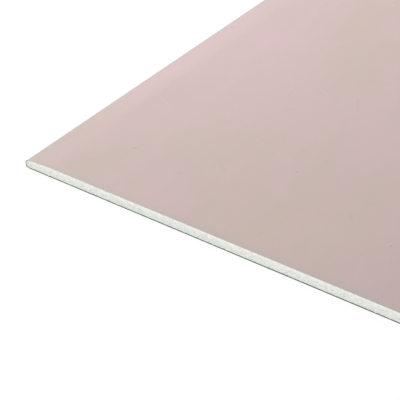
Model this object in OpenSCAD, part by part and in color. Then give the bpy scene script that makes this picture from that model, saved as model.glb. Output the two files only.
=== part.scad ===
// Drywall sheet: a gypsum board with two tapered, rounded long edges.
// It lies flat, face up. The origin is the centre of the back face, on the floor.
// X runs across the width, Y along the length and Z up.

/* [Sheet] */
// Length of the sheet, along Y
sheet_length = 2500; // [600:10:3600]
// Width of the sheet over both long edges, along X
sheet_width = 1200; // [400:10:1250]
// Thickness of the flat field, both papers included
sheet_thickness = 12.5; // [9.5:0.5:25]

/* [Long edges] */
// Distance from each long edge to the break between the flat field and the taper
taper_width = 35; // [25:1:80]
// Drop of the face from the flat field to the start of the edge's rounding
taper_depth = 1.8; // [0.6:0.1:2.5]
// Radius of the edge's rounding on the face side
face_edge_radius = 5; // [2:0.5:7]
// Radius of the edge's rounding on the back side
back_edge_radius = 2; // [1:0.5:3]

/* [Paper] */
// Thickness of the pink face paper
face_paper_thickness = 0.4; // [0.2:0.05:0.6]
// Thickness of the grey back paper
back_paper_thickness = 0.4; // [0.2:0.05:0.6]
// Flat width of the face paper folded under the core, in from each rounding
fold_width = 25; // [15:1:50]
// Bare part of that fold, from the rounding to the edge of the back paper
back_paper_setback = 2; // [1:0.5:12]

/* [Hidden] */

// Facets of a full circle at the roundings
rounding_fn = 96;
// Height of the underside of the folded face paper, and of the core above that fold
fold_underside = back_paper_thickness;
core_underside = fold_underside + face_paper_thickness;
// Height of the taper's low end, where the rounding on the face side starts
taper_end = sheet_thickness - taper_depth;
// Centres of the two roundings, whose heights are also the ends of the flat side between them
side_x = sheet_width / 2;
face_edge_x = side_x - face_edge_radius;
face_edge_z = taper_end - face_edge_radius;
back_edge_x = side_x - back_edge_radius;
back_edge_z = fold_underside + back_edge_radius;
// Half widths of the flat field, of the gap between the two folds and of the back paper
field_half = side_x - taper_width;
fold_gap_half = back_edge_x - fold_width;
back_paper_half = back_edge_x - back_paper_setback;

// Section of the sheet moved inwards by inset, with its underside at the given height
module section(inset, underside) {
    right_half = [
        [back_edge_x, underside],
        [side_x - inset, back_edge_z],
        [side_x - inset, face_edge_z],
        [face_edge_x, taper_end - inset],
        [field_half, sheet_thickness - inset]
    ];
    last = len(right_half) - 1;
    left_half = [for (i = [last:-1:0]) [-right_half[i].x, right_half[i].y]];
    polygon(concat(right_half, left_half));
    for (side = [-1, 1]) {
        translate([side * face_edge_x, face_edge_z])
            circle(r = face_edge_radius - inset, $fn = rounding_fn);
        translate([side * back_edge_x, back_edge_z])
            circle(r = back_edge_radius - inset, $fn = rounding_fn);
    }
}

// Gap between the folds, where the core reaches down to the back paper; it runs up into the core
module fold_gap() {
    translate([-fold_gap_half, fold_underside])
        square([2 * fold_gap_half, 2 * face_paper_thickness]);
}

// Runs a section along the whole sheet
module along_sheet() {
    rotate([90, 0, 0])
        linear_extrude(height = sheet_length, center = true)
            children();
}

// Plaster core, square-cut at both ends
module gypsum_core() {
    color([0.89, 0.90, 0.87])
        along_sheet() {
            section(face_paper_thickness, core_underside);
            fold_gap();
        }
}

// Face paper, wrapped round the long edges and folded under the core
module face_paper() {
    color([0.82, 0.73, 0.71])
        along_sheet()
            difference() {
                section(0, fold_underside);
                section(face_paper_thickness, core_underside);
                fold_gap();
            }
}

// Back paper, glued over the folds of the face paper
module back_paper() {
    color([0.58, 0.59, 0.57])
        along_sheet()
            translate([-back_paper_half, 0])
                square([2 * back_paper_half, back_paper_thickness]);
}

gypsum_core();
face_paper();
back_paper();
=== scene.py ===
# Drywall sheet: pink face paper, rough-cut gypsum core and grey back paper, lying on a pale floor.
import math
import random
from collections import namedtuple

import bpy
import numpy as np
from mathutils import Euler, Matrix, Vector, noise


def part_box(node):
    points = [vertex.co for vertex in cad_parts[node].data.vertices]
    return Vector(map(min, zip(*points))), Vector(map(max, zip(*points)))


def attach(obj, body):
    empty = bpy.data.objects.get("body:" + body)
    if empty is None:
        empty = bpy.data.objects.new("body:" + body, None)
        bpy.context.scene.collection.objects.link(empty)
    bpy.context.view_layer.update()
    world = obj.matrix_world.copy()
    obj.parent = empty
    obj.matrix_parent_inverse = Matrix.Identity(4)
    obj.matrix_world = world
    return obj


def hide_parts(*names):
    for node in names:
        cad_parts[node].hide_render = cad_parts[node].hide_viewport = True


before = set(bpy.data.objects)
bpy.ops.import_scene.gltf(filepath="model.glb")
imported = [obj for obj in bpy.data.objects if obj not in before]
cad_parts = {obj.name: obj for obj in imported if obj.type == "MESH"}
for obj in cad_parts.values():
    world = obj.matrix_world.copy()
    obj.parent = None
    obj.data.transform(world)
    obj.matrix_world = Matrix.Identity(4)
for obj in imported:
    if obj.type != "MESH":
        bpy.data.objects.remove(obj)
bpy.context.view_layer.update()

# Kinds of named values
SoftBox = namedtuple("SoftBox", "place target size power")
Mark = namedtuple("Mark", "first last width change")
Tint = namedtuple("Tint", "first last width factor")
Grain = namedtuple("Grain", "size stretch detail crispness", defaults=((1, 1, 1), 3.0, 0.5))
Spots = namedtuple("Spots", "spacing radius darkening")
Finish = namedtuple("Finish", "smoothest roughest bump_depth")

# Units, and the slack when places in the frame are compared
MM = 0.001
TINY = 0.002 * MM

# Sizes of the sheet, read from the frame
face_low, face_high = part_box("face_paper")
core_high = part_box("gypsum_core")[1]
back_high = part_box("back_paper")[1]
face_corners = [vertex.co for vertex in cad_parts["face_paper"].data.vertices]
HALF_WIDTH = face_high.x
HALF_LENGTH = face_high.y
THICKNESS = face_high.z
CORE_TOP = core_high.z
FACE_PAPER = THICKNESS - CORE_TOP
BACK_PAPER = back_high.z
BACK_HALF_WIDTH = back_high.x
FOLD_UNDERSIDE = face_low.z
FOLD_TOP = FOLD_UNDERSIDE + FACE_PAPER
FOLD_GAP_HALF = min(c.x for c in face_corners if c.x > 0 and c.z < FOLD_UNDERSIDE + TINY)
FIELD_HALF = max(c.x for c in face_corners if c.z > THICKNESS - TINY)

# Long edges: the flat side, the rounding below it and the rounding above it, where the taper ends
side_heights = [c.z for c in face_corners if c.x > HALF_WIDTH - TINY]
SIDE_LOW = min(side_heights)
SIDE_HIGH = max(side_heights)
TAPER_END = max(c.z for c in face_corners if c.x > FIELD_HALF + TINY)
BACK_RADIUS = SIDE_LOW - FOLD_UNDERSIDE
FACE_RADIUS = TAPER_END - SIDE_HIGH
BACK_EDGE_X = HALF_WIDTH - BACK_RADIUS
FACE_EDGE_X = HALF_WIDTH - FACE_RADIUS
TAPER_SLOPE = (THICKNESS - TAPER_END) / (FACE_EDGE_X - FIELD_HALF)

# Camera of the photograph, from the corner of the sheet that it shows
SHOWN_CORNER = Vector((-HALF_WIDTH, -HALF_LENGTH, 0))
CAMERA_AZIMUTH = 34.005
CAMERA_ELEVATION = 36.019
CAMERA_PLACE = SHOWN_CORNER + Vector((0.6461, -0.6140, 0.5878))
CAMERA_TURN = Euler((math.radians(90 - CAMERA_ELEVATION), 0, math.radians(CAMERA_AZIMUTH)))
CAMERA_NEAREST = 0.01
LENS_MM = 85.49
SENSOR_MM = 36.0
PHOTO_SIZE = 400
PIXEL_MIDDLE = 0.5
FOCAL_PIXELS = LENS_MM / SENSOR_MM * PHOTO_SIZE
HEIGHT_PASSES = 4

# Lights and floor: the side box and the fill go by the same corner, the top box by the sheet's middle
SKY_STRENGTH = 0.585
SOFT_BOXES = {
    "side_box": SoftBox(
        place=SHOWN_CORNER + Vector((-0.90, 0.32, 0.60)),
        target=SHOWN_CORNER + Vector((0.15, 0.30, 0)),
        size=1.0,
        power=13.3,
    ),
    "top_box": SoftBox(
        place=Vector((-0.10, 0.42, 1.76)),
        target=Vector((-0.10, 0.42, 0)),
        size=1.6,
        power=14.5,
    ),
    "fill": SoftBox(
        place=SHOWN_CORNER + Vector((0.15, -2.0, 0.11)),
        target=SHOWN_CORNER + Vector((0.20, 0, 0)),
        size=0.2,
        power=7.5,
    ),
}
FLOOR_HALF_SIZE = 30.0
FLOOR_COLOUR = 0.08
FLOOR_GLOW = 0.93

# Shape of the face
SHOULDER_BLEND = 2.5 * MM
WAVE_DEPTH = 0.12 * MM
WAVE_ACROSS = 160 * MM
WAVE_ALONG = 700 * MM
WAVE_FADE = 40 * MM

# Cut ends of the face paper: a ragged edge, and a burr turned in round the long edges, which starts on
# the fold in a gap beside the back paper
FRAY_DEPTH = 0.2 * MM
FRAY_SIZE = 3.0 * MM
FRAY_REACH = 4.0 * MM
FRAY_SEED = 7.0
BURR_HEIGHT = 0.55 * MM
BURR_HEIGHT_BELOW = 1.0 * MM
BURR_THICKNESS = 0.2 * MM
BURR_STEP = 0.05 * MM
BURR_WHOLE = 3.0 * MM
BURR_END = 12.0 * MM
BURR_GAP = 0.5 * MM
BARE_FROM = BACK_HALF_WIDTH + BURR_GAP / 2

# Cut ends of the back paper: a ragged lip that is turned up
LIP_HEIGHT = 0.7 * MM
LIP_RAGGED = 0.35 * MM
LIP_THICKNESS = 0.35 * MM
LIP_SIZE = 5.0 * MM
LIP_BED = 6.0 * MM
LIP_NOISE_ROW = 3.0
LIP_SEED = 11.0

# Cut ends of the core: grain, saw marks, air holes and the seat of burr and lip
GRAIN_DEPTH = 0.12 * MM
GRAIN_SIZE = 1.6 * MM
SAW_DEPTH = 0.08 * MM
SAW_SIZE = 1.3 * MM
SAW_STRETCH = 8
SAW_SEED = 5.0
PIT_COUNT = 420
PIT_RADIUS = (0.5 * MM, 1.5 * MM)
PIT_DEPTH = (0.25 * MM, 0.9 * MM)
PIT_SEED = 20
SEAT_DEPTH = 0.45 * MM

# Spacing of the meshes; the core's rows are shares of its height, closer together near the back paper
PROFILE_STEP = 1.5 * MM
CORE_STEP = 0.9 * MM
CORE_ROW_COUNT = 18
CORE_ROW_CROWDING = 1.4
CORE_ROWS = np.linspace(0, 1, CORE_ROW_COUNT) ** CORE_ROW_CROWDING
ROUNDING_STEPS = 16
FOLD_STEPS = 3
END_STATIONS = [0.0, BURR_THICKNESS, BURR_THICKNESS + BURR_STEP, 1.5 * MM, 4 * MM, 12 * MM, 36 * MM]
MIDDLE_STATIONS = 24
SHARP_ANGLE = math.radians(40)

# Places of the materials in a paper's list, and of the colours among a mix node's sockets
PAPER = 0
CUT = 1
MIX_FIRST = 6
MIX_SECOND = 7
MIX_RESULT = 2

# All materials: gloss, strength of the bump, the values that noise mostly lies between, and how the
# grain of paper is stretched along the sheet
SPECULAR = 0.25
BUMP_STRENGTH = 0.3
NOISE_LOW = 0.3
NOISE_HIGH = 0.7
ALONG_SHEET = (1, 0.4, 1)

# Pink paper: its mottle, faint clouds, flecks and fibres, and grey painted along its edges: a grey band
# along the cut ends, and painted shade over the rounding of the long edges
PINK_MOTTLE = Grain(60 * MM, ALONG_SHEET, 5.0, 0.65)
PINK_COLOURS = [(0.36, (0.545, 0.441, 0.407, 1)), (0.64, (0.576, 0.443, 0.437, 1))]
PINK_CLOUDS = Grain(12 * MM, ALONG_SHEET)
CLOUD_CHANGE = 0.03
PINK_FLECKS = Spots(45 * MM, 1.125 * MM, 0.10)
PINK_FIBRES = Grain(1.2 * MM, (1, 0.5, 1))
PINK_FINISH = Finish(0.80, 0.90, 0.05 * MM)
EDGE_GREY_COLOUR = (0.46, 0.45, 0.435, 1)
END_GREYING = 0.6
END_GREYING_FROM = 9 * MM
END_GREYING_WHOLE = 1 * MM
SIDE_SHADE = 0.8
SIDE_SHADE_FROM = 11 * MM

# Drift of the pink: first and last pixel in the photograph, width, and factor on the colour
TINTS = {
    "pinker far side": Tint((180, 75), (275, 15), 130 * MM, (1.014, 0.986, 1.04, 1)),
    "sandier strip near the front": Tint((250, 228), (380, 242), 70 * MM, (0.994, 1.015, 0.975, 1)),
    "sandier corner": Tint((50, 152), (165, 155), 75 * MM, (0.965, 0.992, 0.97, 1)),
    "duller taper by the corner": Tint((60, 140), (165, 95), 70 * MM, (0.985, 0.972, 0.985, 1)),
    "duller front on the right": Tint((385, 300), (399, 250), 60 * MM, (0.965, 0.978, 0.972, 1)),
}

# Marks on the face: first and last pixel in the photograph, width, and change of brightness
MARKS = {
    "pale scratch": Mark((320, 89), (328, 95), 1.2 * MM, 0.08),
    "shaded side of the scratch": Mark((318, 90), (325, 96), 1.2 * MM, -0.04),
    "pale scratch by the dent": Mark((162, 98), (168, 104), 1.2 * MM, 0.06),
    # Painted shade in a dent beside the pale scratch.
    "painted dent shade": Mark((161, 93), (164, 95), 2.0 * MM, -0.06),
    "grey fleck on the right": Mark((358, 110), (358, 111), 1.6 * MM, -0.08),
    "fleck trail": Mark((358, 98), (357, 108), 2.2 * MM, -0.05),
    # The dark flecks with pale rims sit where the paper is uneven: their dark is partly painted shade, and
    # the pale rims are painted highlights.
    "dark fleck": Mark((296, 172), (297, 172), 1.4 * MM, -0.22),
    "painted highlight below the dark fleck": Mark((296, 174), (297, 174), 1.4 * MM, 0.10),
    "dark fleck by the right side": Mark((390, 245), (391, 246), 1.4 * MM, -0.20),
    "painted highlight beside that fleck": Mark((388, 244), (389, 244), 1.4 * MM, 0.14),
    "dash": Mark((132, 147), (136, 148), 2.0 * MM, -0.13),
    "short dash": Mark((324, 161), (329, 161), 1.4 * MM, -0.07),
    "slanted dash": Mark((291, 92), (288, 95), 1.4 * MM, -0.08),
    "dash below it": Mark((286, 108), (291, 109), 1.8 * MM, -0.08),
    "dash in the middle": Mark((174, 172), (181, 172), 1.8 * MM, -0.06),
    "dash near the right": Mark((360, 253), (364, 255), 1.8 * MM, -0.06),
    "streak by the right side": Mark((390, 257), (390, 268), 1.8 * MM, -0.03),
    "far fleck": Mark((231, 26), (232, 27), 1.8 * MM, -0.16),
    "pale fleck": Mark((154, 79), (155, 79), 1.6 * MM, 0.14),
    "smudge": Mark((350, 215), (351, 220), 3.0 * MM, -0.05),
    "right side of the arched scuff": Mark((220, 162), (224, 171), 2.5 * MM, -0.035),
    "left side of the arched scuff": Mark((213, 164), (213, 173), 2.5 * MM, -0.025),
    "top of the arched scuff": Mark((214, 162), (219, 161), 2.0 * MM, -0.025),
    "smudge near the cut": Mark((339, 281), (342, 281), 2.5 * MM, -0.04),
    "smudge on the taper": Mark((80, 128), (83, 129), 2.5 * MM, -0.05),
}

# Cut edge of the papers: its fibres, both colours, how far in it turns wholly pale, and how pale it gets
# at the side; the dark colour is partly the paper's own grey and partly painted shade at the foot of the
# sheet and round the lower long edges
CUT_FIBRES = Grain(1.5 * MM)
CUT_GREY_AND_SHADE = [(NOISE_LOW, (0.117, 0.136, 0.120, 1)), (NOISE_HIGH, (0.209, 0.231, 0.209, 1))]
CUT_PALE = [(NOISE_LOW, (0.56, 0.51, 0.485, 1)), (NOISE_HIGH, (0.68, 0.63, 0.595, 1))]
CUT_FINISH = Finish(0.92, 1.0, 0.1 * MM)
PALE_REACH = 14 * MM
PALE_AT_SIDE = 0.35

# Cut gypsum: its colours from the fold up to the face paper, patches, crumbs, and voids in loose groups,
# darkened with painted shade
GYPSUM_COLOURS = [
    (0.0, (0.71, 0.75, 0.705, 1)),
    (0.6, (0.78, 0.805, 0.755, 1)),
    (0.85, (0.86, 0.852, 0.802, 1)),
    (1.0, (0.90, 0.866, 0.82, 1)),
]
GYPSUM_MOTTLE = Grain(3.5 * MM, (0.8, 1, 1.2), 4.0, 0.8)
GYPSUM_PATCHES = [(NOISE_LOW, (0.86, 0.86, 0.86, 1)), (NOISE_HIGH, (1.15, 1.15, 1.15, 1))]
GYPSUM_CRUMBS = Grain(0.8 * MM)
GYPSUM_FINISH = Finish(0.90, 1.0, 0.15 * MM)
SHADED_VOIDS = Spots(2.4 * MM, 0.9 * MM, 0.42)
VOID_GROUPS = Grain(12 * MM)
VOID_GROUPS_FROM = 0.35
VOID_GROUPS_WHOLE = 0.65
VOID_RELIEF = 0.8

# Grey paper: its mottle, flecks and fibres
GREY_MOTTLE = Grain(6 * MM, ALONG_SHEET, 6.0, 0.75)
GREY_COLOURS = [(NOISE_LOW, (0.262, 0.266, 0.250, 1)), (NOISE_HIGH, (0.332, 0.332, 0.309, 1))]
GREY_FLECKS = Spots(14 * MM, 0.7 * MM, 0.25)
GREY_FIBRES = Grain(1.5 * MM, ALONG_SHEET)
GREY_FINISH = Finish(0.85, 0.95, 0.08 * MM)


# Surface of the face
def noise_share(x, y, z):
    """Smooth noise at a place, from 0 to 1."""
    return 0.5 + 0.5 * noise.noise(Vector((x, y, z)))


def face_height(x, y):
    """Height of the face: flat field, soft shoulder, taper and slow waves that end at the rounding."""
    past_break = abs(x) - FIELD_HALF
    if past_break <= -SHOULDER_BLEND:
        drop = 0.0
    elif past_break < SHOULDER_BLEND:
        drop = TAPER_SLOPE * (past_break + SHOULDER_BLEND) ** 2 / (4 * SHOULDER_BLEND)
    else:
        drop = TAPER_SLOPE * past_break
    wave = noise_share(x / WAVE_ACROSS, y / WAVE_ALONG, 0)
    wave_share = min(1.0, (FACE_EDGE_X - abs(x)) / WAVE_FADE)
    return THICKNESS - drop - WAVE_DEPTH * wave_share * wave


def on_face(pixel):
    """Point of the face that a pixel of the photograph shows, closing in on the face's height there."""
    right = (pixel[0] + PIXEL_MIDDLE - PHOTO_SIZE / 2) / FOCAL_PIXELS
    down = (pixel[1] + PIXEL_MIDDLE - PHOTO_SIZE / 2) / FOCAL_PIXELS
    ray = CAMERA_TURN.to_matrix() @ Vector((right, -down, -1))
    height = THICKNESS
    for _ in range(HEIGHT_PASSES):
        point = CAMERA_PLACE + ray * ((height - CAMERA_PLACE.z) / ray.z)
        height = face_height(point.x, point.y)
    return point


# Meshes
def ring_faces(rings, ring_size):
    """Quads between neighbouring closed rings of points."""
    faces = []
    for ring in range(rings - 1):
        low = ring * ring_size
        high = low + ring_size
        for point in range(ring_size):
            after = (point + 1) % ring_size
            faces.append((low + point, low + after, high + after, high + point))
    return faces


def cap_faces(first, ring_size):
    """Quads that close the front end of a skin, whose ring is a line and the same line back again."""
    last = first + ring_size - 1
    steps = range(ring_size // 2 - 1)
    return [(first + step, last - step, last - step - 1, first + step + 1) for step in steps]


def skin_faces(rings, ring_size):
    """Walls of a skin, and the quads that close its two ends."""
    front = cap_faces(0, ring_size)
    rear = [tuple(reversed(quad)) for quad in cap_faces((rings - 1) * ring_size, ring_size)]
    return ring_faces(rings, ring_size), front + rear


def add_object(name, data):
    """Puts a new object into the scene."""
    added = bpy.data.objects.new(name, data)
    bpy.context.scene.collection.objects.link(added)
    return added


def add_piece(name, node, points, faces, materials, face_materials):
    """Makes a mesh piece that stands for a CAD node and rides on the sheet."""
    mesh = bpy.data.meshes.new(name)
    mesh.from_pydata(points, [], faces)
    for material in materials:
        mesh.materials.append(material)
    mesh.polygons.foreach_set("material_index", face_materials)
    mesh.polygons.foreach_set("use_smooth", [True] * len(faces))
    mesh.set_sharp_from_angle(angle=SHARP_ANGLE)
    mesh.update()
    piece = add_object(name, mesh)
    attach(piece, "root")
    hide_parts(node)


# Face paper
def length_stations():
    """Places along Y from the front end to the rear end, close together near both."""
    front = [-HALF_LENGTH + step for step in END_STATIONS]
    middle = np.linspace(front[-1], -front[-1], MIDDLE_STATIONS + 2)[1:-1]
    return front + list(middle) + [-y for y in reversed(front)]


def rounding(centre_x, centre_z, radius, first_angle):
    """Points of a quarter round on the right edge, each with the direction to its inside."""
    points = []
    for angle in np.linspace(first_angle, first_angle + math.pi / 2, ROUNDING_STEPS + 1):
        out_x = math.cos(angle)
        out_z = math.sin(angle)
        points.append((centre_x + radius * out_x, centre_z + radius * out_z, -out_x, -out_z))
    return points


def outline(y):
    """Points of the face paper's outside at one station, each with the direction to its inside.

    They run from the edge of the left fold over the face to the edge of the right fold."""
    covered = np.linspace(FOLD_GAP_HALF, BACK_HALF_WIDTH, FOLD_STEPS + 1)
    bare = np.linspace(BACK_HALF_WIDTH + BURR_GAP, BACK_EDGE_X, FOLD_STEPS + 1)[:-1]
    right = [(x, FOLD_UNDERSIDE, 0, 1) for x in [*covered, *bare]]
    right += rounding(BACK_EDGE_X, SIDE_LOW, BACK_RADIUS, -math.pi / 2)
    right += rounding(FACE_EDGE_X, SIDE_HIGH, FACE_RADIUS, 0.0)[:-1]
    steps = round(2 * FACE_EDGE_X / PROFILE_STEP)
    face = [(x, face_height(x, y), 0, -1) for x in np.linspace(FACE_EDGE_X, -FACE_EDGE_X, steps + 1)]
    left = [(-x, z, -in_x, in_z) for x, z, in_x, in_z in reversed(right)]
    return list(reversed(right + face + left))


def burr_height(x, z):
    """Height of the burr that the cut turns in from the face paper, near a point of the long edge.

    It is highest on the back side, whole up the flat side, and runs out on the taper."""
    across = abs(x)
    bare = across > BARE_FROM
    if z < SIDE_LOW and bare:
        return BURR_HEIGHT_BELOW
    if z > SIDE_HIGH and across > FACE_EDGE_X:
        past_side = FACE_RADIUS * math.atan2(z - SIDE_HIGH, across - FACE_EDGE_X)
    elif z > SIDE_HIGH:
        past_side = FACE_RADIUS * math.pi / 2 + FACE_EDGE_X - across
    else:
        past_side = 0.0 if bare else BURR_END
    share = (BURR_END - past_side) / (BURR_END - BURR_WHOLE)
    return BURR_HEIGHT * min(1.0, max(0.0, share))


def fray(x, z, end):
    """How far the cut paper falls short of the end; the covered fold leaves room for the lip below it."""
    depth = FRAY_DEPTH * noise_share(x / FRAY_SIZE, z / FRAY_SIZE, FRAY_SEED * end)
    covered = z < SIDE_LOW and abs(x) < BARE_FROM
    return depth + SEAT_DEPTH if covered else depth


def face_paper_ring(y):
    """Points of the face paper at one station: along its outside, then back along its inside."""
    line = outline(y)
    end = math.copysign(1, y)
    from_end = HALF_LENGTH - abs(y)
    burred = from_end < BURR_THICKNESS + BURR_STEP / 2
    ring = [point[:2] for point in line]
    for x, z, in_x, in_z in reversed(line):
        depth = FACE_PAPER + (burr_height(x, z) if burred else 0.0)
        ring.append((x + in_x * depth, z + in_z * depth))
    fray_share = max(0.0, 1 - from_end / FRAY_REACH)
    return [(x, y - end * fray_share * fray(x, z, end), z) for x, z in ring]


def make_face_paper(pink, cut_edge):
    """Skin from fold to fold, pink on its outside."""
    rings = [face_paper_ring(y) for y in length_stations()]
    points = [point for ring in rings for point in ring]
    ring_size = len(rings[0])
    outside = ring_size // 2 - 1
    walls, caps = skin_faces(len(rings), ring_size)
    face_materials = [PAPER if face % ring_size < outside else CUT for face in range(len(walls))]
    face_materials += [CUT] * len(caps)
    add_piece("face_paper_skin", "face_paper", points, walls + caps,
              [pink, cut_edge], face_materials)


# Back paper
def lip_height(x, end):
    """Height of the lip that the cut turns up from the back paper."""
    return LIP_HEIGHT + LIP_RAGGED * noise.noise(Vector((x / LIP_SIZE, LIP_NOISE_ROW, LIP_SEED * end)))


def back_paper_rings():
    """Rings of the back paper: the tip of the front lip, its bend, the bed, and the same to the rear."""
    steps = round(2 * BACK_HALF_WIDTH / PROFILE_STEP)
    xs = np.linspace(BACK_HALF_WIDTH, -BACK_HALF_WIDTH, steps + 1)
    below = [0.0] * len(xs)
    above = [BACK_PAPER] * len(xs)

    def ring(outer_y, outer_heights, inner_y, inner_heights):
        outer = [(x, outer_y, z) for x, z in zip(xs, outer_heights)]
        inner = [(x, inner_y, z) for x, z in zip(xs, inner_heights)]
        return outer + inner[::-1]

    rings = []
    for end in (-1, 1):
        tip = end * HALF_LENGTH
        root = tip - end * LIP_THICKNESS
        bed = tip - end * LIP_BED
        lip = [BACK_PAPER + lip_height(x, end) for x in xs]
        inwards = [ring(tip, lip, root, lip), ring(tip, below, root, above), ring(bed, below, bed, above)]
        rings += inwards if end < 0 else inwards[::-1]
    return rings


def make_back_paper(grey, cut_edge):
    """Sheet with a lip at each end, grey but for the lips."""
    rings = back_paper_rings()
    points = [point for ring in rings for point in ring]
    ring_size = len(rings[0])
    walls, caps = skin_faces(len(rings), ring_size)
    lip_walls = (0, len(rings) - 2)
    face_materials = [CUT if face // ring_size in lip_walls else PAPER for face in range(len(walls))]
    face_materials += [CUT] * len(caps)
    add_piece("back_paper_sheet", "back_paper", points, walls + caps,
              [grey, cut_edge], face_materials)


# Gypsum core
def core_columns():
    """Columns of the cut end, closer together towards the long edges."""
    radius = FACE_RADIUS - FACE_PAPER
    angles = np.linspace(0, math.pi / 2, ROUNDING_STEPS + 1)[1:]
    edge = [FACE_EDGE_X + radius * math.sin(angle) for angle in angles]
    steps = round(2 * FACE_EDGE_X / CORE_STEP)
    return [-x for x in reversed(edge)] + list(np.linspace(-FACE_EDGE_X, FACE_EDGE_X, steps + 1)) + edge


def arc_height(across, radius):
    """Height of a round over its centre, at a distance across from it."""
    return math.sqrt(max(0.0, radius ** 2 - across ** 2))


def core_span(x, y):
    """Lowest and highest point of the core at one column."""
    across = abs(x)
    low = BACK_PAPER if across < FOLD_GAP_HALF else FOLD_TOP
    high = face_height(x, y) - FACE_PAPER
    if across > BACK_EDGE_X:
        low = SIDE_LOW - arc_height(across - BACK_EDGE_X, BACK_RADIUS - FACE_PAPER)
    if across > FACE_EDGE_X:
        high = SIDE_HIGH + arc_height(across - FACE_EDGE_X, FACE_RADIUS - FACE_PAPER)
    return low, high


def below_paper(x, z, end):
    """Distance of a point of the core from the face paper round it."""
    across = abs(x)
    if z > SIDE_HIGH and across > FACE_EDGE_X:
        return FACE_RADIUS - FACE_PAPER - math.hypot(across - FACE_EDGE_X, z - SIDE_HIGH)
    if z > SIDE_HIGH:
        return face_height(x, end * HALF_LENGTH) - FACE_PAPER - z
    if z < SIDE_LOW and across > BACK_EDGE_X:
        return BACK_RADIUS - FACE_PAPER - math.hypot(across - BACK_EDGE_X, z - SIDE_LOW)
    return min(z - FOLD_TOP, HALF_WIDTH - FACE_PAPER - across)


def in_seat(x, z, end):
    """Whether a point of the cut end lies behind the back paper's lip or the face paper's burr."""
    behind_lip = abs(x) < BACK_HALF_WIDTH and z < BACK_PAPER + lip_height(x, end)
    return behind_lip or below_paper(x, z, end) < burr_height(x, z)


def pit_depth(xs, zs, end):
    """Depth of the round air holes at each point of an end."""
    depth = np.zeros(len(xs))
    dice = random.Random(PIT_SEED + end)
    for _ in range(PIT_COUNT):
        pit_x = dice.uniform(-FACE_EDGE_X, FACE_EDGE_X)
        pit_z = dice.uniform(FOLD_TOP, CORE_TOP)
        radius = dice.uniform(*PIT_RADIUS)
        away = np.hypot(xs - pit_x, zs - pit_z) / radius
        depth += dice.uniform(*PIT_DEPTH) * np.clip(1 - away ** 2, 0, 1)
    return depth


def cut_depth(xs, zs, end):
    """Depth of the rough cut at each point of an end: grain, saw marks, pits and the seat."""
    places = list(zip(xs, zs))
    saw_height = SAW_STRETCH * SAW_SIZE
    grain = [noise_share(x / GRAIN_SIZE, z / GRAIN_SIZE, end / GRAIN_SIZE) for x, z in places]
    saw = [noise_share(x / SAW_SIZE, z / saw_height, SAW_SEED * end) for x, z in places]
    depth = GRAIN_DEPTH * np.array(grain) + SAW_DEPTH * np.array(saw) + pit_depth(xs, zs, end)
    seated = [in_seat(x, z, end) for x, z in places]
    return np.where(seated, np.maximum(depth, SEAT_DEPTH), depth)


def core_end(columns, end):
    """Points of a cut end, column by column from the lowest to the highest."""
    spans = [core_span(x, end * HALF_LENGTH) for x in columns]
    xs = np.repeat(columns, CORE_ROW_COUNT)
    zs = np.concatenate([low + (high - low) * CORE_ROWS for low, high in spans])
    ys = end * (HALF_LENGTH - cut_depth(xs, zs, end))
    return list(zip(xs, ys, zs))


def end_quads(columns):
    """Quads of the front end."""
    rows = CORE_ROW_COUNT
    corners = [column * rows + row for column in range(columns - 1) for row in range(rows - 1)]
    return [(corner, corner + rows, corner + rows + 1, corner + 1) for corner in corners]


def end_rim(columns):
    """Points round the front end: along the bottom, up the right, back along the top, down the left."""
    rows = CORE_ROW_COUNT
    bottom = [column * rows for column in range(columns)]
    right = [(columns - 1) * rows + row for row in range(rows)]
    top = [column * rows + rows - 1 for column in reversed(range(columns))]
    left = list(reversed(range(rows)))
    return bottom + right[1:] + top[1:] + left[1:-1]


def make_core(gypsum):
    """Two rough cut ends, and long walls between their rims."""
    columns = core_columns()
    points = core_end(columns, -1) + core_end(columns, 1)
    rear = len(points) // 2
    front_quads = end_quads(len(columns))
    rear_quads = [tuple(rear + point for point in reversed(quad)) for quad in front_quads]
    rim = end_rim(len(columns))
    walls = [(second, first, rear + first, rear + second) for first, second in zip(rim, rim[1:] + rim[:1])]
    faces = front_quads + rear_quads + walls
    add_piece("gypsum_core_body", "gypsum_core", points, faces, [gypsum], [0] * len(faces))


# Shader nodes
def add_node(tree, kind, inputs=None, **settings):
    """Adds a shader node, sets its options, and links or sets its inputs."""
    node = tree.nodes.new(kind)
    for option, value in settings.items():
        setattr(node, option, value)
    for key, value in (inputs or {}).items():
        if isinstance(value, bpy.types.NodeSocket):
            tree.links.new(value, node.inputs[key])
        else:
            node.inputs[key].default_value = value
    return node


def new_material(name):
    """Material with a Principled shader, its node tree and object coordinates."""
    material = bpy.data.materials.new(name)
    material.use_nodes = True
    tree = material.node_tree
    shader = tree.nodes["Principled BSDF"]
    shader.inputs["Specular IOR Level"].default_value = SPECULAR
    coords = add_node(tree, "ShaderNodeTexCoord").outputs["Object"]
    return material, tree, shader, coords


def number(tree, operation, *values):
    """Result of a maths step on numbers."""
    return add_node(tree, "ShaderNodeMath", dict(enumerate(values)), operation=operation).outputs[0]


def vector(tree, operation, inputs, output="Vector"):
    """Result of a maths step on vectors."""
    return add_node(tree, "ShaderNodeVectorMath", inputs, operation=operation).outputs[output]


def along(tree, coords, axis):
    """Place along one axis, X, Y or Z."""
    return add_node(tree, "ShaderNodeSeparateXYZ", {0: coords}).outputs[axis]


def from_middle(tree, coords, axis):
    """Distance from the sheet's middle along one axis."""
    return number(tree, "ABSOLUTE", along(tree, coords, axis))


def fade(tree, value, none_at, whole_at):
    """0 where the value is none_at or past it, 1 where it is whole_at or past it."""
    inputs = {"Value": value, "From Min": none_at, "From Max": whole_at}
    return add_node(tree, "ShaderNodeMapRange", inputs).outputs[0]


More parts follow.
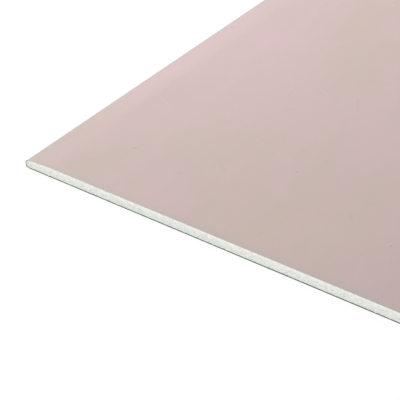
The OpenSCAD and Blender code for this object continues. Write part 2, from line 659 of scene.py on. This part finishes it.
def grain_value(tree, coords, grain):
    """Noise between 0 and 1 with spots of about the grain's size."""
    stretched = vector(tree, "MULTIPLY", {0: coords, 1: grain.stretch})
    inputs = {"Vector": stretched, "Scale": 1 / grain.size}
    inputs.update({"Detail": grain.detail, "Roughness": grain.crispness})
    return add_node(tree, "ShaderNodeTexNoise", inputs).outputs[0]


def spots_mask(tree, coords, spots, dimensions):
    """1 at the middle of small scattered spots, 0 past their radius."""
    inputs = {"Vector": coords, "Scale": 1 / spots.spacing}
    cells = add_node(tree, "ShaderNodeTexVoronoi", inputs, voronoi_dimensions=dimensions)
    return fade(tree, cells.outputs["Distance"], spots.radius / spots.spacing, 0.0)


def stroke_mask(tree, coords, stroke):
    """1 along the middle of a short straight mark or tint, 0 past its sides and ends."""
    start = on_face(stroke.first)
    run = on_face(stroke.last) - start
    offset = vector(tree, "SUBTRACT", {0: coords, 1: start})
    progress = vector(tree, "DOT_PRODUCT", {0: offset, 1: run / run.length_squared}, "Value")
    share = add_node(tree, "ShaderNodeClamp", {0: progress}).outputs[0]
    nearest = vector(tree, "SCALE", {0: run, "Scale": share})
    away = vector(tree, "DISTANCE", {0: offset, 1: nearest}, "Value")
    return fade(tree, away, stroke.width, 0.0)


def ramp(tree, value, stops):
    """Colour ramp through (place, colour) stops."""
    node = add_node(tree, "ShaderNodeValToRGB", {0: value})
    elements = node.color_ramp.elements
    elements[0].position, elements[0].color = stops[0]
    elements[1].position, elements[1].color = stops[-1]
    for place, colour in stops[1:-1]:
        elements.new(place).color = colour
    return node.outputs[0]


def mix(tree, share, first, second, blend="MIX"):
    """Colour between two, by a share from 0 to 1."""
    inputs = {0: share, MIX_FIRST: first, MIX_SECOND: second}
    node = add_node(tree, "ShaderNodeMix", inputs, data_type="RGBA", blend_type=blend)
    return node.outputs[MIX_RESULT]


def brightened(tree, colour, change):
    """Colour made brighter by a share, or darker where the share is below 0."""
    return vector(tree, "SCALE", {0: colour, "Scale": number(tree, "ADD", 1.0, change)})


def apply_finish(tree, shader, colour, grain, finish):
    """Links the colour, and a roughness and a bump that follow the grain."""
    tree.links.new(colour, shader.inputs["Base Color"])
    inputs = {"Value": grain, "From Min": NOISE_LOW, "From Max": NOISE_HIGH}
    inputs.update({"To Min": finish.smoothest, "To Max": finish.roughest})
    uneven = add_node(tree, "ShaderNodeMapRange", inputs)
    tree.links.new(uneven.outputs[0], shader.inputs["Roughness"])
    inputs = {"Height": grain, "Distance": finish.bump_depth, "Strength": BUMP_STRENGTH}
    bump = add_node(tree, "ShaderNodeBump", inputs)
    tree.links.new(bump.outputs[0], shader.inputs["Normal"])


# Materials
def edge_grey_and_shade_share(tree, coords):
    """Share by which grey takes the pink away: a band along the cut ends, and painted shade over the
    rounded long edges.
    """
    from_ends = from_middle(tree, coords, "Y")
    ends = fade(tree, from_ends, HALF_LENGTH - END_GREYING_FROM, HALF_LENGTH - END_GREYING_WHOLE)
    sides = fade(tree, from_middle(tree, coords, "X"), HALF_WIDTH - SIDE_SHADE_FROM, HALF_WIDTH)
    end_share = number(tree, "MULTIPLY", ends, END_GREYING)
    side_share = number(tree, "MULTIPLY", sides, SIDE_SHADE)
    return number(tree, "MAXIMUM", end_share, side_share)


def brightness_change(tree, coords):
    """Share by which clouds, flecks and marks make the face brighter or darker."""
    clouds = grain_value(tree, coords, PINK_CLOUDS)
    change = number(tree, "MULTIPLY_ADD", clouds, CLOUD_CHANGE, -CLOUD_CHANGE / 2)
    flecks = spots_mask(tree, coords, PINK_FLECKS, "2D")
    change = number(tree, "MULTIPLY_ADD", flecks, -PINK_FLECKS.darkening, change)
    for mark in MARKS.values():
        change = number(tree, "MULTIPLY_ADD", stroke_mask(tree, coords, mark), mark.change, change)
    return change


def pink_paper():
    """Mottled pink, with the drift and the marks that the photograph shows, a grey band along the cut
    ends, and painted shade on the rounded long edges.
    """
    material, tree, shader, coords = new_material("pink_face_paper")
    colour = ramp(tree, grain_value(tree, coords, PINK_MOTTLE), PINK_COLOURS)
    for tint in TINTS.values():
        colour = mix(tree, stroke_mask(tree, coords, tint), colour, tint.factor, "MULTIPLY")
    # Painted shade: the pink turns grey towards the rounded long edges, and a grey band runs along the cut
    # ends.
    colour = mix(tree, edge_grey_and_shade_share(tree, coords), colour, EDGE_GREY_COLOUR)
    colour = brightened(tree, colour, brightness_change(tree, coords))
    apply_finish(tree, shader, colour, grain_value(tree, coords, PINK_FIBRES), PINK_FINISH)
    return material


def cut_paper():
    """Cut edge of the papers: dark below and at the side, pale over the rounding and the face; the dark is
    partly the paper's own grey and partly painted shade.
    """
    material, tree, shader, coords = new_material("cut_paper_edge")
    fibres = grain_value(tree, coords, CUT_FIBRES)
    # Painted shade: the cut edge gets darker towards the bottom and towards the side of the long edges.
    up = fade(tree, along(tree, coords, "Z"), SIDE_LOW, TAPER_END)
    inwards = fade(tree, from_middle(tree, coords, "X"), HALF_WIDTH, HALF_WIDTH - PALE_REACH)
    most = number(tree, "MULTIPLY_ADD", inwards, 1 - PALE_AT_SIDE, PALE_AT_SIDE)
    pale_share = number(tree, "MULTIPLY", up, most)
    colour = mix(tree, pale_share, ramp(tree, fibres, CUT_GREY_AND_SHADE), ramp(tree, fibres, CUT_PALE))
    apply_finish(tree, shader, colour, fibres, CUT_FINISH)
    return material


def cut_gypsum():
    """Chalky plaster, warmer and paler towards the face, with patches and small voids darkened with
    painted shade.
    """
    material, tree, shader, coords = new_material("cut_gypsum")
    colour = ramp(tree, fade(tree, along(tree, coords, "Z"), FOLD_TOP, CORE_TOP), GYPSUM_COLOURS)
    patches = ramp(tree, grain_value(tree, coords, GYPSUM_MOTTLE), GYPSUM_PATCHES)
    colour = mix(tree, 1.0, colour, patches, "MULTIPLY")
    groups = fade(tree, grain_value(tree, coords, VOID_GROUPS), VOID_GROUPS_FROM, VOID_GROUPS_WHOLE)
    voids = number(tree, "MULTIPLY", spots_mask(tree, coords, SHADED_VOIDS, "3D"), groups)
    # Painted shade in the voids.
    colour = brightened(tree, colour, number(tree, "MULTIPLY", voids, -SHADED_VOIDS.darkening))
    crumbs = grain_value(tree, coords, GYPSUM_CRUMBS)
    relief = number(tree, "MULTIPLY_ADD", voids, -VOID_RELIEF, crumbs)
    apply_finish(tree, shader, colour, relief, GYPSUM_FINISH)
    return material


def grey_paper():
    """Mottled grey with dark flecks."""
    material, tree, shader, coords = new_material("grey_back_paper")
    colour = ramp(tree, grain_value(tree, coords, GREY_MOTTLE), GREY_COLOURS)
    flecks = spots_mask(tree, coords, GREY_FLECKS, "2D")
    colour = brightened(tree, colour, number(tree, "MULTIPLY", flecks, -GREY_FLECKS.darkening))
    apply_finish(tree, shader, colour, grain_value(tree, coords, GREY_FIBRES), GREY_FINISH)
    return material


# Stage: floor, light and camera
def make_floor():
    """Wide plain floor that glows, so that it is evenly pale."""
    size = FLOOR_HALF_SIZE
    mesh = bpy.data.meshes.new("floor")
    corners = [(-size, -size, 0), (size, -size, 0), (size, size, 0), (-size, size, 0)]
    mesh.from_pydata(corners, [], [(0, 1, 2, 3)])
    material, _, shader, _ = new_material("pale_floor")
    shader.inputs["Base Color"].default_value = (FLOOR_COLOUR, FLOOR_COLOUR, FLOOR_COLOUR, 1)
    shader.inputs["Roughness"].default_value = 1.0
    shader.inputs["Specular IOR Level"].default_value = 0.0
    shader.inputs["Emission Color"].default_value = (1, 1, 1, 1)
    shader.inputs["Emission Strength"].default_value = FLOOR_GLOW
    mesh.materials.append(material)
    floor = add_object("floor", mesh)


def make_sky():
    """Even white light from all round."""
    world = bpy.data.worlds.new("studio")
    bpy.context.scene.world = world
    world.use_nodes = True
    background = world.node_tree.nodes["Background"]
    background.inputs["Color"].default_value = (1, 1, 1, 1)
    background.inputs["Strength"].default_value = SKY_STRENGTH


def make_soft_box(name, box):
    """Square area light that the camera doesn't see."""
    data = bpy.data.lights.new(name, "AREA")
    data.size = box.size
    data.energy = box.power
    light = add_object(name, data)
    light.location = box.place
    light.rotation_euler = (box.target - box.place).to_track_quat("-Z", "Y").to_euler()
    light.visible_camera = False


def make_camera():
    """Camera at the photograph's place."""
    data = bpy.data.cameras.new("camera")
    data.lens = LENS_MM
    data.sensor_width = SENSOR_MM
    data.clip_start = CAMERA_NEAREST
    camera = add_object("camera", data)
    camera.location = CAMERA_PLACE
    camera.rotation_euler = CAMERA_TURN
    bpy.context.scene.camera = camera


# Pieces
cut_edge = cut_paper()
make_core(cut_gypsum())
make_face_paper(pink_paper(), cut_edge)
make_back_paper(grey_paper(), cut_edge)

# Studio
make_floor()
make_sky()
for box_name, soft_box in SOFT_BOXES.items():
    make_soft_box(box_name, soft_box)
make_camera()
bpy.context.scene.view_settings.view_transform = "Standard"
